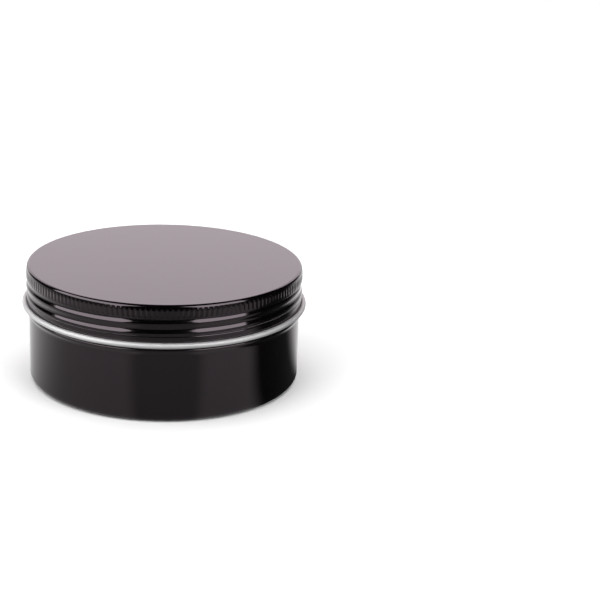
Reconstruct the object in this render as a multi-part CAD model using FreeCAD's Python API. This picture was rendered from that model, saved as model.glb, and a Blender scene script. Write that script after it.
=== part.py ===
import FreeCAD, Part
import math
import os

# Round screw-top aluminium candle tin: a drawn can, a screw lid with a knurled
# grip band and an outward curl, and the foam liner disc inside the lid.
# Millimetres, +Z up, origin at the centre of the foot, lid screwed home.

# ---- driving dimensions -------------------------------------------------
overall_height = 34.5
sheet = 0.3                     # aluminium gauge

# can
can_radius = 39.6               # outside of the straight wall
foot_fillet = 2.2               # outside corner between wall and foot
panel_lift = 0.7                # bottom panel stands this far above the table
panel_radius = 33.6
foot_inner_radius = 34.9
foot_step_bend = 1.2            # both bends of the step from the panel down to the foot
flare_corner = 20.0             # the wall opens out round this height
flare_bend = 2.0
ledge_radius = 40.2
ledge_height = 21.8             # top of the ledge that stops the lid
ledge_side = 0.3                # short upright under the ledge's rounded rim
ledge_side_bend = 0.6
ledge_roll = 0.3                # bend of the ledge's rounded rim, on the centre line
neck_radius = 39.35
neck_bend = 0.3
mouth_height = 33.1
mouth_curl_radius = 0.5
mouth_curl_tail = 0.15          # straight end of the curl, turned down inside the neck

# lid
grip_radius = 40.3
crown_inset = 0.36              # the grip leans in by this much up to the rounded top edge
crown_edge = 0.75               # bend of the top edge, on the centre line
crown_height = 32.85            # the grip starts to lean in here
crown_bend = 2.0
grip_bottom = 30.7
grip_slope = 0.35               # height of the slope from the grip in to the thread zone
grip_bend = 0.4
thread_zone_radius = 39.95      # outside of the lid wall between the ridges
skirt_radius = 40.2
skirt_top = 25.62               # middle of the slope from the thread zone out to the skirt
skirt_slope = 0.3               # half the height of that slope
skirt_bend = 0.6
curl_radius = 0.8               # outside radius of the bead at the lower edge
curl_bottom = 22.25
curl_closing = 28.0             # degrees the bead's edge turns on past its top, towards its centre

# knurled grip
knurl_count = 168
knurl_depth = 0.12
knurl_width = 0.8
knurl_bottom = 30.9
knurl_top = 33.6                # the grooves have run out on the leaning part by here
knurl_cutter_reach = 0.1        # the cutters stand this far outside the grip

# screw thread, right hand; theta is 0 at the front (-Y) and grows towards +X
thread_pitch = 2.8
thread_front_height = 26.3      # centre of the ridge where theta is 0
ridge_section_radius = 2.153    # rounded section of the lid ridge
ridge_crest = 40.35
lid_thread_start = -200.0
lid_thread_end = 450.0
can_thread_start = 0.0
can_thread_end = 360.0
thread_clearance = 0.25         # between the can's ridge and the lid's channel
channel_overcut = 0.15          # the channel's cutter reaches this far inside the wall
channel_end = 2.0               # degrees, the channel stops short of its ridge at each end

# liner
liner_radius = 39.15
liner_thickness = 0.9
liner_gap = 0.06                # free space under the lid top
liner_edge = 0.15               # fillet on both edges of the disc


# ---- helpers ------------------------------------------------------------
def vec(r, z):
    return FreeCAD.Vector(r, 0, z)


def bend_points(before, corner, after):
    """Start, middle and end of a rounded corner, each with its left-hand normal."""
    r0, z0 = before[0], before[1]
    r1, z1, radius = corner
    r2, z2 = after[0], after[1]
    a = FreeCAD.Vector(r1 - r0, 0, z1 - z0).normalize()
    b = FreeCAD.Vector(r2 - r1, 0, z2 - z1).normalize()
    turn = math.atan2(a.x * b.z - a.z * b.x, a.dot(b))
    side = 1.0 if turn > 0 else -1.0
    reach = radius * math.tan(abs(turn) / 2)
    left_a = FreeCAD.Vector(-a.z, 0, a.x)
    left_b = FreeCAD.Vector(-b.z, 0, b.x)
    left_m = (left_a + left_b).normalize()
    start = vec(r1, z1) - a * reach
    end = vec(r1, z1) + b * reach
    centre = start + left_a * (side * radius)
    middle = centre - left_m * (side * radius)
    return [(start, left_a), (middle, left_m), (end, left_b)]


def offset_chain(path, offset):
    """Lines and arcs that run beside the bent path at a signed distance."""
    first = FreeCAD.Vector(path[1][0] - path[0][0], 0, path[1][1] - path[0][1]).normalize()
    last = FreeCAD.Vector(path[-1][0] - path[-2][0], 0, path[-1][1] - path[-2][1]).normalize()
    here = vec(path[0][0], path[0][1]) + FreeCAD.Vector(-first.z, 0, first.x) * offset
    edges = []
    for i in range(1, len(path) - 1):
        bend = [p + n * offset for p, n in bend_points(path[i - 1], path[i], path[i + 1])]
        if (bend[0] - here).Length > 1e-4:
            edges.append(Part.makeLine(here, bend[0]))
        edges.append(Part.Arc(bend[0], bend[1], bend[2]).toShape())
        here = bend[2]
    tip = vec(path[-1][0], path[-1][1]) + FreeCAD.Vector(-last.z, 0, last.x) * offset
    if (tip - here).Length > 1e-4:
        edges.append(Part.makeLine(here, tip))
        here = tip
    return edges, here


def sheet_solid(path):
    """Turned sheet-metal solid; path lists (r, z, bend radius) on the centre line."""
    half = sheet / 2
    left, left_tip = offset_chain(path, half)
    right, right_tip = offset_chain(path, -half)
    left_root = left[0].firstVertex().Point
    right_root = right[0].firstVertex().Point
    caps = [Part.makeLine(left_tip, right_tip), Part.makeLine(right_root, left_root)]
    outline = Part.Wire(Part.__sortEdges__(left + right + caps))
    turned = Part.Face(outline).revolve(FreeCAD.Vector(0, 0, 0), FreeCAD.Vector(0, 0, 1), 360)
    return turned.Solids[0] if turned.Solids else Part.Solid(turned)


def screw_band(section_radius, root_radius, start, end):
    """Helical band with a rounded crest, closed flat at root_radius."""
    centre = ridge_crest - ridge_section_radius
    half_width = math.sqrt(section_radius ** 2 - (root_radius - centre) ** 2)
    crest = centre + section_radius
    arc = Part.Arc(vec(root_radius, -half_width), vec(crest, 0), vec(root_radius, half_width))
    chord = Part.makeLine(vec(root_radius, half_width), vec(root_radius, -half_width))
    section = Part.Wire([arc.toShape(), chord])
    turns = (end - start) / 360.0
    spine = Part.makeHelix(thread_pitch, thread_pitch * turns, root_radius)
    band = Part.Wire(spine).makePipeShell([section], True, True)
    band.rotate(FreeCAD.Vector(0, 0, 0), FreeCAD.Vector(0, 0, 1), start - 90.0)
    band.translate(FreeCAD.Vector(0, 0, thread_front_height + thread_pitch * start / 360.0))
    return band


def knurl_cutters():
    """V-shaped vertical grooves round the grip band."""
    root = grip_radius - knurl_depth
    outer = grip_radius + knurl_cutter_reach
    half = knurl_width / 2 * (outer - root) / knurl_depth
    corners = [FreeCAD.Vector(root, 0, knurl_bottom),
               FreeCAD.Vector(outer, -half, knurl_bottom),
               FreeCAD.Vector(outer, half, knurl_bottom)]
    wedge = Part.Face(Part.makePolygon(corners + corners[:1]))
    wedge = wedge.extrude(FreeCAD.Vector(0, 0, knurl_top - knurl_bottom))
    cutters = []
    for i in range(knurl_count):
        cutter = wedge.copy()
        cutter.rotate(FreeCAD.Vector(0, 0, 0), FreeCAD.Vector(0, 0, 1), i * 360.0 / knurl_count)
        cutters.append(cutter)
    return Part.makeCompound(cutters)


# ---- can ----------------------------------------------------------------
def make_base_can():
    half = sheet / 2
    wall = can_radius - half
    neck = neck_radius - half
    ledge = ledge_height - half
    lip = ledge_radius - half
    curl = mouth_curl_radius - half
    top = mouth_height - half
    path = [
        (0, panel_lift + half, 0),
        (panel_radius, panel_lift + half, foot_step_bend),
        (foot_inner_radius, half, foot_step_bend),
        (wall, half, foot_fillet - half),
        (wall, flare_corner, flare_bend),
        (lip, ledge - ledge_roll - ledge_side, ledge_side_bend),
        (lip, ledge, ledge_roll),
        (neck, ledge, neck_bend),
        (neck, top, curl),
        (neck - 2 * curl, top, curl),
        (neck - 2 * curl, top - curl - mouth_curl_tail, 0),
    ]
    can = sheet_solid(path)
    section = ridge_section_radius - sheet - thread_clearance
    ridge = screw_band(section, neck, can_thread_start, can_thread_end)
    channel = screw_band(section - sheet, neck_radius - sheet - channel_overcut,
                         can_thread_start + channel_end, can_thread_end - channel_end)
    return can.fuse(ridge).cut(channel)


# ---- lid ----------------------------------------------------------------
def make_screw_lid():
    half = sheet / 2
    top = overall_height - half
    grip = grip_radius - half
    zone = thread_zone_radius - half
    skirt = skirt_radius - half
    curl = curl_radius - half
    low = curl_bottom + half
    outer = skirt + 2 * curl
    closing = math.radians(curl_closing)
    tuck = curl * math.tan(closing / 2)
    centre = skirt + curl
    path = [
        (0, top, 0),
        (grip - crown_inset, top, crown_edge),
        (grip, crown_height, crown_bend),
        (grip, grip_bottom, grip_bend),
        (zone, grip_bottom - grip_slope, grip_bend),
        (zone, skirt_top + skirt_slope, skirt_bend),
        (skirt, skirt_top - skirt_slope, skirt_bend),
        (skirt, low, curl),
        (outer, low, curl),
        (outer, low + 2 * curl, curl),
        (centre - tuck, low + 2 * curl, curl),
        (centre - curl * math.sin(closing), low + curl * (1 + math.cos(closing)), 0),
    ]
    lid = sheet_solid(path)
    ridge = screw_band(ridge_section_radius, zone, lid_thread_start, lid_thread_end)
    channel = screw_band(ridge_section_radius - sheet, thread_zone_radius - sheet - channel_overcut,
                         lid_thread_start + channel_end, lid_thread_end - channel_end)
    return lid.fuse(ridge).cut(channel).cut(knurl_cutters())


# ---- liner --------------------------------------------------------------
def make_lid_liner():
    top = overall_height - sheet - liner_gap
    disc = Part.makeCylinder(liner_radius, liner_thickness,
                             FreeCAD.Vector(0, 0, top - liner_thickness))
    return disc.makeFillet(liner_edge, [e for e in disc.Edges if isinstance(e.Curve, Part.Circle)])


def main():
    os.makedirs("parts", exist_ok=True)
    pieces = {
        "base_can": make_base_can(),
        "screw_lid": make_screw_lid(),
        "lid_liner": make_lid_liner(),
    }
    for name, shape in pieces.items():
        if len(shape.Solids) != 1 or not shape.isValid():
            raise ValueError(name + " is not one valid solid")
        box = shape.BoundBox
        print(name, round(shape.Volume, 1), "mm3, z", round(box.ZMin, 3), round(box.ZMax, 3),
              "r", round(box.XMax, 3))
        shape.Solids[0].exportStep("parts/" + name + ".step")


main()
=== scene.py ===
import math

import bpy
import numpy as np
from mathutils import Matrix, Vector


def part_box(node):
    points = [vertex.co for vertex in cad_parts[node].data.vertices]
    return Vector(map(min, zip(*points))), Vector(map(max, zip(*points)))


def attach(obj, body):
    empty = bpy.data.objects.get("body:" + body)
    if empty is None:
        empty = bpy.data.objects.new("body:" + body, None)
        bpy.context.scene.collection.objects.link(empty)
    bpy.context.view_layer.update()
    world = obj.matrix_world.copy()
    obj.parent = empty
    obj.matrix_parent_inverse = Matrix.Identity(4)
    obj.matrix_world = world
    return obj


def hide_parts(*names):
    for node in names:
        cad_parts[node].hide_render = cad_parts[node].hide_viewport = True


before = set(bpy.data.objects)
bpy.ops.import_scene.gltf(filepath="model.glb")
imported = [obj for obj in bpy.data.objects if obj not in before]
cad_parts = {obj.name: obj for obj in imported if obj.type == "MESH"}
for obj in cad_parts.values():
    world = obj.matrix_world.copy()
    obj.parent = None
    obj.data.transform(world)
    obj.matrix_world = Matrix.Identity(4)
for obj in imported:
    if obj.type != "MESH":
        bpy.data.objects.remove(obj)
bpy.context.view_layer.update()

MM = 0.001

# ---- sizes in millimetres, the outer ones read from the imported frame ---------
_, can_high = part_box("base_can")
lid_low, lid_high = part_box("screw_lid")
liner_low, liner_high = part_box("lid_liner")
HEIGHT = lid_high.z / MM
MOUTH = can_high.z / MM
CURL_BOTTOM = lid_low.z / MM

SHEET = 0.3
HALF = SHEET / 2

CAN_R, FOOT_FILLET = 39.6, 2.2
PANEL_LIFT, PANEL_R, FOOT_INNER_R, FOOT_BEND = 0.7, 33.6, 34.9, 1.2
FLARE_CORNER, FLARE_BEND = 20.0, 2.0
LEDGE_R, LEDGE_Z, LEDGE_ROLL = 40.2, 21.8, 0.3
LEDGE_SIDE, LEDGE_SIDE_BEND = 0.3, 0.6
NECK_R, NECK_BEND = 39.35, 0.3
MOUTH_CURL, CURL_TAIL = 0.5, 0.15

CROWN_INSET, CROWN_EDGE = 0.36, 0.75
CROWN_Z, CROWN_BEND = 32.85, 2.0
GRIP_R, GRIP_BOTTOM, GRIP_BEND, GRIP_SLOPE = 40.3, 30.7, 0.4, 0.35
ZONE_R = 39.95
SKIRT_R, SKIRT_TOP, SKIRT_SLOPE, SKIRT_BEND = 40.2, 25.62, 0.3, 0.6
CURL_R, CURL_CLOSING = 0.8, 28.0  # the bead's edge turns on by this many degrees

KNURLS, KNURL_DEPTH = 168, 0.14
KNURL_LOW, KNURL_TOP = 30.8, 33.8

PITCH, FRONT_Z = 2.8, 26.3        # FRONT_Z is the lid ridge's height at the front
RUN_OUT = 22.0                    # degrees over which a ridge fades at its ends
LID_RIDGE, LID_RIDGE_HALF, LID_THREAD = 0.4, 1.4, (-200.0, 450.0)
CAN_RIDGE, CAN_RIDGE_HALF, CAN_THREAD = 0.45, 1.0, (0.0, 360.0)
LID_ZONE, CAN_ZONE = (23.9, GRIP_BOTTOM + 0.4), (22.4, 32.0)
WALL_DEPTH = 0.7                  # rows this far inside a wall's outside still belong to it

LINER_EDGE = 0.15
PRESS_R, PRESS_HALF, PRESS_DEPTH = 38.6, 0.35, 0.09
LINER_SAG = 0.012

# ---- mesh density -------------------------------------------------------------
COARSE = 336                      # columns round a plain wall
FINE = KNURLS * 8                 # columns round the knurled band
ARC_STEP = 0.07                   # row spacing round a bend
THREAD_STEP, GRIP_STEP, WALL_STEP = 0.11, 0.2, 3.5
THREADED_FROM = 39.0              # upright walls farther out than this carry the threads
GRIP_FROM = 30.0                  # upright walls above this get the grip's spacing


# ---- profiles ---------------------------------------------------------------
def corner(before, here, after):
    """Rounded corner of a bent path: its start, end, centre, radius, side (1 for a left turn),
    direction before it and turning angle."""
    (x0, y0, _), (x1, y1, radius), (x2, y2, _) = before, here, after
    a = np.array([x1 - x0, y1 - y0]) / math.hypot(x1 - x0, y1 - y0)
    b = np.array([x2 - x1, y2 - y1]) / math.hypot(x2 - x1, y2 - y1)
    turn = math.atan2(a[0] * b[1] - a[1] * b[0], float(a @ b))
    side = math.copysign(1.0, turn)
    reach = radius * math.tan(abs(turn) / 2)
    start = np.array([x1, y1]) - a * reach
    end = np.array([x1, y1]) + b * reach
    centre = start + side * radius * np.array([-a[1], a[0]])
    return start, end, centre, radius, side, a, turn


def line_steps(length, step):
    """Distances along a straight run, with close support rows near both ends."""
    ends = [d for d in (0.04, 0.15) if d < length / 3]
    inner = max(1, int(round(length / step)))
    mid = [length * i / inner for i in range(1, inner)]
    lo = ends[-1] if ends else 0.0
    mid = [d for d in mid if lo * 1.3 < d < length - lo * 1.3]
    return ends + mid + [length - d for d in reversed(ends)]


def sheet_profile(path, step):
    """Points (r, z) on the centre line of a bent sheet with their left-hand normals."""
    points, normals = [], []

    def add(p, n):
        if points and math.hypot(p[0] - points[-1][0], p[1] - points[-1][1]) < 1e-4:
            return
        points.append((float(p[0]), float(p[1])))
        normals.append((float(n[0]), float(n[1])))

    here = np.array(path[0][:2], float)
    for i in range(1, len(path)):
        target = np.array(path[i][:2], float)
        if i < len(path) - 1:
            bend = corner(path[i - 1], path[i], path[i + 1])
            start, end, centre, radius, side, a, turn = bend
        else:
            start, a = target, (target - here)
            a = a / max(np.linalg.norm(a), 1e-9)
        n = np.array([-a[1], a[0]])
        run = float(np.linalg.norm(start - here))
        add(here, n)
        if run > 1e-4:
            for d in line_steps(run, step(here, start)):
                add(here + a * d, n)
            add(start, n)
        if i < len(path) - 1:
            count = max(3, int(math.ceil(abs(turn) * max(radius, 0.3) / ARC_STEP)))
            spoke = start - centre
            for k in range(1, count + 1):
                t = turn * k / count
                c, s = math.cos(t), math.sin(t)
                v = np.array([c * spoke[0] - s * spoke[1], s * spoke[0] + c * spoke[1]])
                add(centre + v, -side * v / radius)
            here = end
    return np.array(points), np.array(normals)


def smooth01(x):
    x = np.clip(x, 0.0, 1.0)
    return x * x * (3 - 2 * x)


def ridge_height(theta, z, span, width):
    """Height 0..1 of a helical ridge over a wall; theta in degrees, z in millimetres."""
    total = np.zeros(np.broadcast(theta, z).shape)
    for turn in (-1, 0, 1):
        t = theta + 360.0 * turn
        dz = z - (FRONT_Z + PITCH * t / 360.0)
        wave = np.where(np.abs(dz) < width, np.cos(0.5 * math.pi * dz / width) ** 2, 0.0)
        inside = smooth01(np.minimum(t - span[0], span[1] - t) / RUN_OUT)
        total = np.maximum(total, wave * inside)
    return total


def knurl_shape(theta):
    """0 on the rib tops, -1 in the grooves between them."""
    return np.abs(np.cos(np.radians(theta) * KNURLS / 2)) - 1.0


# ---- meshes -----------------------------------------------------------------
def columns_theta(columns):
    """Angles of the mesh columns, in degrees, with 0 at the front (-Y)."""
    return (np.arange(columns) * 360.0 / columns + 180.0) % 360.0 - 180.0


def build_turned(name, rows, materials):
    """Mesh from rings. Each row is (radii by column, heights by column, material of the
    band that follows). A row whose radius is 0 is one point on the axis."""
    verts, faces, marks = [], [], []
    rings = []
    for radii, heights, _ in rows:
        if np.max(radii) < 1e-6:
            rings.append([len(verts)])
            verts.append((0.0, 0.0, float(heights[0]) * MM))
            continue
        angle = np.radians(columns_theta(len(radii)) - 90.0)
        rings.append(list(range(len(verts), len(verts) + len(radii))))
        xyz = np.stack([radii * np.cos(angle), radii * np.sin(angle), heights], 1) * MM
        verts.extend(map(tuple, xyz.tolist()))
    for i in range(len(rows) - 1):
        a, b, mark = rings[i], rings[i + 1], rows[i][2]
        na, nb = len(a), len(b)
        if na == 1 or nb == 1:
            hub, rim = (a[0], b) if na == 1 else (b[0], a)
            for k in range(len(rim)):
                pair = (rim[k], rim[(k + 1) % len(rim)])
                faces.append((hub, *pair) if na == 1 else (pair[0], hub, pair[1]))
                marks.append(mark)
            continue
        wide = max(na, nb)
        small = min(na, nb)
        ratio = wide // small
        for k in range(small):
            if na == nb:
                face = [a[k], b[k], b[(k + 1) % nb], a[(k + 1) % na]]
            elif na < nb:
                run = [b[(k * ratio + j) % nb] for j in range(ratio + 1)]
                face = [a[k]] + run + [a[(k + 1) % na]]
            else:
                run = [a[(k * ratio + j) % na] for j in range(ratio, -1, -1)]
                face = run[-1:] + [b[k], b[(k + 1) % nb]] + run[:-1]
            faces.append(tuple(face))
            marks.append(mark)
    mesh = bpy.data.meshes.new(name)
    mesh.from_pydata(verts, [], faces)
    for m in materials:
        mesh.materials.append(m)
    mesh.polygons.foreach_set("material_index", marks)
    mesh.polygons.foreach_set("use_smooth", [True] * len(faces))
    mesh.update()
    obj = bpy.data.objects.new(name, mesh)
    bpy.context.scene.collection.objects.link(obj)
    return obj


def sheet_rows(path, step, left_mark, right_mark, shape):
    """Rings round a bent sheet: left side outwards, rounded tip, right side back to the axis.
    shape(side, r, z, columns) gives the radii of one ring."""
    points, normals = sheet_profile(path, step)
    rows = []

    def ring(p, side, mark):
        columns = FINE if side == "left" and in_grip(p) else COARSE
        radii = shape(side, p[0], p[1], columns)
        rows.append((radii, np.full(columns, p[1]), mark))

    for p, n in zip(points, normals):
        ring(p + n * HALF, "left", left_mark)
    tip, n = points[-1], normals[-1]
    ahead = np.array([n[1], -n[0]])
    for k in range(1, 6):
        t = math.pi * k / 6
        ring(tip + (n * math.cos(t) + ahead * math.sin(t)) * HALF, "tip",
             left_mark if k < 3 else right_mark)
    for p, n in zip(points[::-1], normals[::-1]):
        ring(p - n * HALF, "right", right_mark)
    return rows


def in_grip(p):
    return p[0] > GRIP_R - 0.35 and KNURL_LOW - 0.1 < p[1] < KNURL_TOP + 0.1


def lid_shape(side, r, z, columns):
    """Radii of one ring of the lid, with its thread and knurls."""
    radii = np.full(columns, max(r, 0.0))
    theta = columns_theta(columns)
    on_wall = side != "tip" and ZONE_R - WALL_DEPTH < r < SKIRT_R + 0.01
    if on_wall and LID_ZONE[0] < z < LID_ZONE[1]:
        wave = ridge_height(theta, z, LID_THREAD, LID_RIDGE_HALF)
        outer = r if side == "left" else r + SHEET
        radii = radii + np.maximum(0.0, ZONE_R + LID_RIDGE * wave - outer)
    if columns == FINE:
        fade = smooth01((z - KNURL_LOW + 0.6) / 2.0) * smooth01((z - KNURL_LOW) / 0.5)
        depth = min(KNURL_DEPTH, max(0.0, r - GRIP_R + KNURL_DEPTH))
        radii = radii + depth * fade * knurl_shape(theta)
    return radii


def can_shape(side, r, z, columns):
    """Radii of one ring of the can, with the thread on its neck."""
    radii = np.full(columns, max(r, 0.0))
    if side != "tip" and r > NECK_R - WALL_DEPTH and CAN_ZONE[0] < z < CAN_ZONE[1]:
        wave = ridge_height(columns_theta(columns), z, CAN_THREAD, CAN_RIDGE_HALF)
        radii = radii + CAN_RIDGE * wave
    return radii


def thread_steps(low, high):
    """Close rows on a wall of the thread zone and on the grip, wide rows elsewhere."""
    def step(p, q):
        bottom, top = min(p[1], q[1]), max(p[1], q[1])
        upright = abs(p[0] - q[0]) < 0.01
        if upright and p[0] > THREADED_FROM and top > low and bottom < high:
            return THREAD_STEP
        return GRIP_STEP if upright and bottom > GRIP_FROM else WALL_STEP
    return step


# ---- materials ----------------------------------------------------------------
UNROLL_RADIUS = 0.04              # metres
LACQUER_IOR, LACQUER_TINT = 1.8, (1.0, 0.85, 0.94, 1.0)
GRAIN_SCALE, PEEL_SCALE, CELL_SCALE = 5200.0, 620.0, 1500.0
GRAIN_DEPTH, PEEL_DEPTH, CELL_DEPTH = 0.0000004, 0.000006, 0.00003
LINES_DEPTH, DRAWN_DEPTH = 0.000005, 0.000002


class Shader:
    """Small builder for a node material on the Principled shader."""

    def __init__(self, name, **sockets):
        self.mat = bpy.data.materials.new(name)
        self.mat.use_nodes = True
        self.tree = self.mat.node_tree
        self.bsdf = self.tree.nodes["Principled BSDF"]
        for key, value in sockets.items():
            self.bsdf.inputs[key.replace("_", " ")].default_value = value

    def node(self, kind, settings=None, **inputs):
        n = self.tree.nodes.new(kind)
        for key, value in (settings or {}).items():
            setattr(n, key, value)
        for key, value in inputs.items():
            self.feed(n, key, value)
        return n

    def feed(self, n, key, value):
        index = int(key[1:]) if key[0] == "i" and key[1:].isdigit() else key.replace("_", " ")
        if isinstance(value, bpy.types.NodeSocket):
            self.tree.links.new(value, n.inputs[index])
        else:
            n.inputs[index].default_value = value

    def math(self, op, a, b=0.0):
        return self.node("ShaderNodeMath", {"operation": op}, i0=a, i1=b).outputs[0]

    def span(self, value, low, high, to_low, to_high):
        n = self.node("ShaderNodeMapRange", {"interpolation_type": "SMOOTHSTEP"}, Value=value,
                      From_Min=low, From_Max=high, To_Min=to_low, To_Max=to_high)
        return n.outputs[0]

    def colour(self, factor, a, b):
        n = self.node("ShaderNodeMix", {"data_type": "RGBA"}, i0=factor)
        n.inputs[6].default_value = (*a, 1.0)
        n.inputs[7].default_value = (*b, 1.0)
        return n.outputs[2]

    def at(self):
        """Object position in metres."""
        return self.node("ShaderNodeTexCoord").outputs["Object"]

    def split(self, at):
        """x, y, z and the distance from the axis."""
        x, y, z = self.node("ShaderNodeSeparateXYZ", i0=at).outputs
        squares = self.math("ADD", self.math("MULTIPLY", x, x), self.math("MULTIPLY", y, y))
        return x, y, z, self.math("SQRT", squares)

    def unrolled(self, at):
        """Position unrolled round the axis: arc length, height, radius."""
        x, y, z, r = self.split(at)
        arc = self.math("MULTIPLY", self.math("ARCTAN2", y, x), UNROLL_RADIUS)
        return self.node("ShaderNodeCombineXYZ", i0=arc, i1=z, i2=r).outputs[0]

    def stretched(self, vector, sx, sy, sz):
        return self.node("ShaderNodeMapping", {"vector_type": "POINT"}, Vector=vector,
                         Scale=(sx, sy, sz)).outputs[0]

    def noise(self, vector, scale, detail=2.0, rough=0.5):
        return self.node("ShaderNodeTexNoise", Vector=vector, Scale=scale, Detail=detail,
                         Roughness=rough).outputs[0]

    def bump(self, height, distance, normal=None):
        n = self.node("ShaderNodeBump", Height=height, Distance=distance, Strength=1.0)
        if normal is not None:
            self.feed(n, "Normal", normal)
        return n.outputs[0]

    def out(self, **links):
        for key, value in links.items():
            self.feed(self.bsdf, key, value)
        return self.mat


def black_lacquer():
    """Gloss black, with a faint orange peel and a few fine rubs round the tin."""
    s = Shader("black_lacquer", IOR=LACQUER_IOR, Metallic=0.0, Specular_Tint=LACQUER_TINT)
    at = s.at()
    cloud = s.noise(at, 55.0, 3.0)
    grain = s.noise(at, GRAIN_SCALE, 2.0)
    peel = s.noise(at, PEEL_SCALE, 1.5)
    rubs = s.noise(s.stretched(s.unrolled(at), 45.0, 5200.0, 5200.0), 1.0, 2.0, 0.6)
    rub_mask = s.math("MULTIPLY", s.span(rubs, 0.66, 0.74, 0.0, 1.0),
                      s.span(cloud, 0.5, 0.7, 0.0, 1.0))
    shade = s.math("ADD", s.math("MULTIPLY", cloud, 0.5), s.math("MULTIPLY", grain, 0.5))
    colour = s.colour(s.span(shade, 0.3, 0.7, 0.0, 1.0), (0.0002, 0.0002, 0.0002),
                      (0.0006, 0.0005, 0.0006))
    rough = s.math("ADD", s.span(cloud, 0.3, 0.7, 0.075, 0.105), s.math("MULTIPLY", grain, 0.02))
    rough = s.math("ADD", rough, s.math("MULTIPLY", rub_mask, 0.16))
    normal = s.bump(grain, GRAIN_DEPTH, s.bump(peel, PEEL_DEPTH))
    return s.out(Base_Color=colour, Roughness=rough, Normal=normal)


def bare_aluminium():
    """Drawn aluminium, with fine lines round the tin and fainter ones along it."""
    s = Shader("bare_aluminium", Metallic=1.0)
    at = s.at()
    unrolled = s.unrolled(at)
    lines = s.noise(s.stretched(unrolled, 35.0, 9000.0, 9000.0), 1.0, 3.0, 0.65)
    drawn = s.noise(s.stretched(unrolled, 5200.0, 60.0, 60.0), 1.0, 2.0, 0.6)
    cloud = s.noise(at, 90.0, 3.0)
    tone = s.math("ADD", s.math("MULTIPLY", lines, 0.6), s.math("MULTIPLY", cloud, 0.4))
    colour = s.colour(s.span(tone, 0.3, 0.7, 0.0, 1.0),
                      (0.84, 0.835, 0.84), (0.96, 0.955, 0.96))
    rough = s.math("ADD", s.span(lines, 0.3, 0.7, 0.60, 0.72), s.span(cloud, 0.3, 0.7, 0.0, 0.06))
    normal = s.bump(drawn, DRAWN_DEPTH, s.bump(lines, LINES_DEPTH))
    return s.out(Base_Color=colour, Roughness=rough, Normal=normal)


def liner_foam():
    """White closed-cell foam."""
    s = Shader("liner_foam", Metallic=0.0, IOR=1.45)
    at = s.at()
    cells, edges = (s.node("ShaderNodeTexVoronoi", {"feature": feature}, Vector=at,
                           Scale=CELL_SCALE).outputs[0] for feature in ("F1", "DISTANCE_TO_EDGE"))
    cloud = s.noise(at, 120.0, 3.0)
    tone = s.math("ADD", s.math("MULTIPLY", cells, 0.5), s.math("MULTIPLY", cloud, 0.6))
    colour = s.colour(s.span(tone, 0.2, 0.8, 0.0, 1.0), (0.86, 0.86, 0.835), (0.74, 0.74, 0.715))
    rough = s.span(cloud, 0.3, 0.7, 0.68, 0.82)
    normal = s.bump(s.span(edges, 0.0, 0.16, 0.0, 1.0), CELL_DEPTH)
    return s.out(Base_Color=colour, Roughness=rough, Normal=normal)


LACQUER, BARE, FOAM = black_lacquer(), bare_aluminium(), liner_foam()

# ---- the can --------------------------------------------------------------------
wall, neck = CAN_R - HALF, NECK_R - HALF
ledge, lip = LEDGE_Z - HALF, LEDGE_R - HALF
curl_r, mouth_top = MOUTH_CURL - HALF, MOUTH - HALF
can_path = [
    (0.0, PANEL_LIFT + HALF, 0.0),
    (PANEL_R, PANEL_LIFT + HALF, FOOT_BEND),
    (FOOT_INNER_R, HALF, FOOT_BEND),
    (wall, HALF, FOOT_FILLET - HALF),
    (wall, FLARE_CORNER, FLARE_BEND),
    (lip, ledge - LEDGE_ROLL - LEDGE_SIDE, LEDGE_SIDE_BEND),
    (lip, ledge, LEDGE_ROLL),
    (neck, ledge, NECK_BEND),
    (neck, mouth_top, curl_r),
    (neck - 2 * curl_r, mouth_top, curl_r),
    (neck - 2 * curl_r, mouth_top - curl_r - CURL_TAIL, 0.0),
]
can_rows = sheet_rows(can_path, thread_steps(24.6, 30.9), 1, 0, can_shape)
can = build_turned("can_shell", can_rows, [LACQUER, BARE])
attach(can, "can")
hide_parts("base_can")

# ---- the lid --------------------------------------------------------------------
curl = CURL_R - HALF
low = CURL_BOTTOM + HALF
skirt, zone, grip = SKIRT_R - HALF, ZONE_R - HALF, GRIP_R - HALF
closing = math.radians(CURL_CLOSING)
lid_path = [
    (0.0, HEIGHT - HALF, 0.0),
    (grip - CROWN_INSET, HEIGHT - HALF, CROWN_EDGE),
    (grip, CROWN_Z, CROWN_BEND),
    (grip, GRIP_BOTTOM, GRIP_BEND),
    (zone, GRIP_BOTTOM - GRIP_SLOPE, GRIP_BEND),
    (zone, SKIRT_TOP + SKIRT_SLOPE, SKIRT_BEND),
    (skirt, SKIRT_TOP - SKIRT_SLOPE, SKIRT_BEND),
    (skirt, low, curl),
    (skirt + 2 * curl, low, curl),
    (skirt + 2 * curl, low + 2 * curl, curl),
    (skirt + curl - curl * math.tan(closing / 2), low + 2 * curl, curl),
    (skirt + curl - curl * math.sin(closing), low + curl * (1 + math.cos(closing)), 0.0),
]
lid_rows = sheet_rows(lid_path, thread_steps(24.0, 30.7), 0, 1, lid_shape)
lid = build_turned("lid_shell", lid_rows, [LACQUER, BARE])
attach(lid, "lid")
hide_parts("screw_lid")

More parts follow.
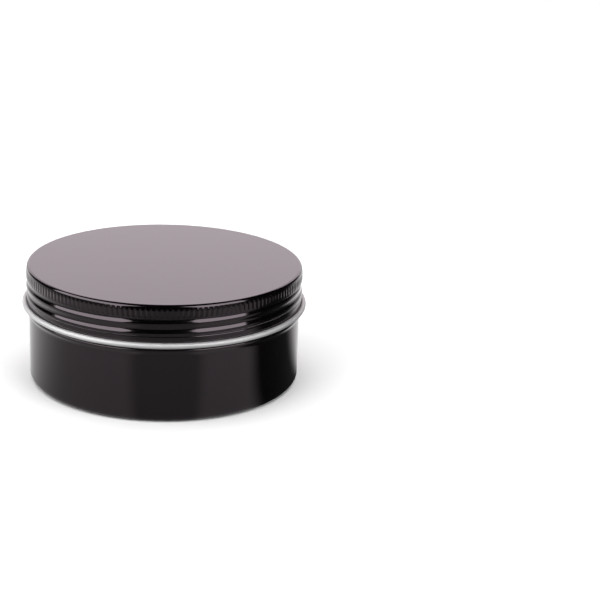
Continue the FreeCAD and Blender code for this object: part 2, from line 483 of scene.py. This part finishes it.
# ---- the liner ------------------------------------------------------------------
def liner_rows():
    """Foam disc, with the shallow ring that the mouth of the can presses into it."""
    bottom, top = liner_low.z / MM, liner_high.z / MM
    flat = liner_high.x / MM - LINER_EDGE
    profile = [(0.0, top)]
    profile += [(r, top) for r in (6, 14, 22, 30, 36, 38.2, flat - 0.05)]
    for k in range(7):
        t = math.pi / 2 * (1 - k / 6)
        profile.append((flat + LINER_EDGE * math.cos(t),
                        top - LINER_EDGE + LINER_EDGE * math.sin(t)))
    for k in range(7):
        t = -math.pi / 2 * k / 6
        profile.append((flat + LINER_EDGE * math.cos(t),
                        bottom + LINER_EDGE + LINER_EDGE * math.sin(t)))
    for i in range(15):
        r = PRESS_R + PRESS_HALF - 0.05 * i
        profile.append((r, bottom + PRESS_DEPTH * smooth01(1 - abs(r - PRESS_R) / PRESS_HALF)))
    profile += [(r, bottom) for r in (38.0, 36, 30, 22, 14, 6)]
    profile.append((0.0, bottom))
    theta = np.radians(columns_theta(COARSE))
    rows = []
    for r, z in profile:
        sag = LINER_SAG * np.sin(3 * theta + r) * np.sin(r / 5.0) if z < bottom + 0.01 else 0.0
        heights = np.full(COARSE, z) + np.maximum(sag, 0.0)
        rows.append((np.full(COARSE, float(r)), heights, 0))
    return rows


liner = build_turned("liner_disc", liner_rows(), [FOAM])
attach(liner, "liner")
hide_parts("lid_liner")


# ---- studio ---------------------------------------------------------------------
def plain_square(name, half, z, material):
    mesh = bpy.data.meshes.new(name)
    corners = [(-half, -half, z), (half, -half, z), (half, half, z), (-half, half, z)]
    mesh.from_pydata(corners, [], [(0, 1, 2, 3)])
    mesh.materials.append(material)
    obj = bpy.data.objects.new(name, mesh)
    bpy.context.scene.collection.objects.link(obj)
    return obj


def floor_material():
    s = Shader("studio_floor", Metallic=0.0, Roughness=0.9)
    s.bsdf.inputs["Specular IOR Level"].default_value = 0.0
    soft = s.noise(s.at(), 3.0, 2.0)
    return s.out(Base_Color=s.colour(soft, (0.81, 0.81, 0.81), (0.83, 0.83, 0.83)))


FLOOR_HALF = 4.0
plain_square("studio_floor", FLOOR_HALF, 0.0, floor_material())
CARD_HALF, CARD_LIFT = 2.0, 0.0003
CARD_CENTRE_Y = -0.024            # azimuths on the card are counted round this point


def around(azimuth, distance, height):
    """A point seen from the tin at an azimuth from the front, positive to the right."""
    a = math.radians(azimuth)
    return Vector((distance * math.sin(a), -distance * math.cos(a), height))


def painted_reflection_card():
    """Faintly glowing card on the table that only reflections see: a painted reflection of a lit
    table.
    It is dim in front of the tin (painted shade), nearly dark at its right-hand side (a painted
    dark reflection), and brightest behind, except right behind it; it dims close to the tin
    (painted shade) and far away too."""
    s = Shader("painted_reflection_card", Metallic=0.0, Roughness=1.0, Emission_Strength=1.0)
    s.bsdf.inputs["Base Color"].default_value = (0.0, 0.0, 0.0, 1.0)
    s.bsdf.inputs["Specular IOR Level"].default_value = 0.0
    x, y, _, away = s.split(s.at())
    south = s.math("MULTIPLY", s.math("ADD", y, -CARD_CENTRE_Y), -1.0)
    azimuth = s.math("MULTIPLY", s.math("ARCTAN2", x, south), 180.0 / math.pi)
    turned = s.math("ABSOLUTE", azimuth)
    # Painted reflection: dimmer in front of the tin and close to it (painted shade), nearly dark
    # at the right (painted dark reflection).
    front = s.math("MULTIPLY", s.span(azimuth, -37.0, -22.0, 0.0, 0.45),
                   s.span(azimuth, 26.0, 40.0, 1.0, 0.0))
    side = s.math("MULTIPLY", s.span(azimuth, 72.0, 86.0, 0.0, 0.94),
                  s.span(azimuth, 114.0, 132.0, 1.0, 0.0))
    tone = s.span(turned, 82.0, 145.0, 0.37, 1.15)
    for part in (s.math("SUBTRACT", 1.0, front), s.math("SUBTRACT", 1.0, side),
                 s.span(turned, 158.0, 176.0, 1.0, 0.5),
                 s.span(away, 0.04, 0.10, 0.86, 1.0), s.span(away, 0.12, 0.45, 1.0, 0.4)):
        tone = s.math("MULTIPLY", tone, part)
    s.out(Emission_Color=s.node("ShaderNodeCombineColor", i0=tone, i1=tone, i2=tone).outputs[0])
    card = plain_square("painted_reflection_card", CARD_HALF, CARD_LIFT, s.mat)
    card.visible_camera = False
    card.visible_diffuse = False
    card.visible_shadow = False
    card.visible_transmission = False


painted_reflection_card()


LIGHT_TARGET = Vector((0, 0, 0.02))


def softbox(name, azimuth, elevation, distance, width, height, radiance, tint=(1, 1, 1)):
    """Rectangular light aimed at the tin: where it stands, in degrees and metres, its size in
    metres, and its brightness as seen."""
    data = bpy.data.lights.new(name, "AREA")
    data.shape = "RECTANGLE"
    data.size, data.size_y = width, height
    data.energy = radiance * math.pi * width * height
    data.color = tint
    lamp = bpy.data.objects.new(name, data)
    bpy.context.scene.collection.objects.link(lamp)
    e = math.radians(elevation)
    lamp.location = around(azimuth, distance * math.cos(e), distance * math.sin(e))
    aim = LIGHT_TARGET - lamp.location
    lamp.rotation_euler = aim.to_track_quat("-Z", "Y").to_euler()
    return lamp


softbox("left_softbox", -66.0, 31.0, 1.0, 1.3, 0.85, 2.6)
softbox("right_softbox", 46.0, 31.0, 1.0, 0.78, 0.85, 2.6)
softbox("back_panel", 180.0, 24.0, 1.7, 2.6, 1.3, 1.46, (1.0, 0.915, 0.965))
fill = softbox("overhead_fill", 0.0, 89.0, 1.8, 2.4, 2.4, 2.4)
fill.visible_glossy = False

world = bpy.data.worlds.new("studio_world")
world.use_nodes = True
background = world.node_tree.nodes["Background"]
background.inputs["Color"].default_value = (0.01, 0.01, 0.01, 1.0)
bpy.context.scene.world = world

# ---- camera -----------------------------------------------------------------------
CAM_DISTANCE, CAM_ELEVATION, CAM_AIM_Z = 0.5, 19.11, 0.018
CAM_YAW, CAM_PITCH, CAM_ROLL = -4.83, 0.61, 2.07
CAM_SENSOR, CAM_LENS, CAM_NEAR = 36.0, 101.1, 0.01


def rotated(a, b, degrees):
    """Two perpendicular directions, turned towards each other's place by an angle."""
    c, s = math.cos(math.radians(degrees)), math.sin(math.radians(degrees))
    return c * a + s * b, c * b - s * a


elevation = math.radians(CAM_ELEVATION)
yaw = Matrix.Rotation(math.radians(CAM_YAW), 3, "Z")
forward = yaw @ Vector((0, math.cos(elevation), -math.sin(elevation)))
right = yaw @ Vector((1, 0, 0))
up = right.cross(forward)
forward, up = rotated(forward, up, CAM_PITCH)
right, up = rotated(right, up, CAM_ROLL)
cam_data = bpy.data.cameras.new("camera")
cam_data.sensor_width = CAM_SENSOR
cam_data.lens = CAM_LENS
cam_data.clip_start = CAM_NEAR
camera = bpy.data.objects.new("camera", cam_data)
bpy.context.scene.collection.objects.link(camera)
facing = Matrix((right, up, -forward)).transposed().to_4x4()
place = Vector((0, -CAM_DISTANCE * math.cos(elevation),
                CAM_DISTANCE * math.sin(elevation) + CAM_AIM_Z))
camera.matrix_world = Matrix.Translation(place) @ facing
bpy.context.scene.camera = camera

scene = bpy.context.scene
scene.view_settings.view_transform = "Standard"
scene.view_settings.look = "None"
scene.view_settings.exposure = 0.0
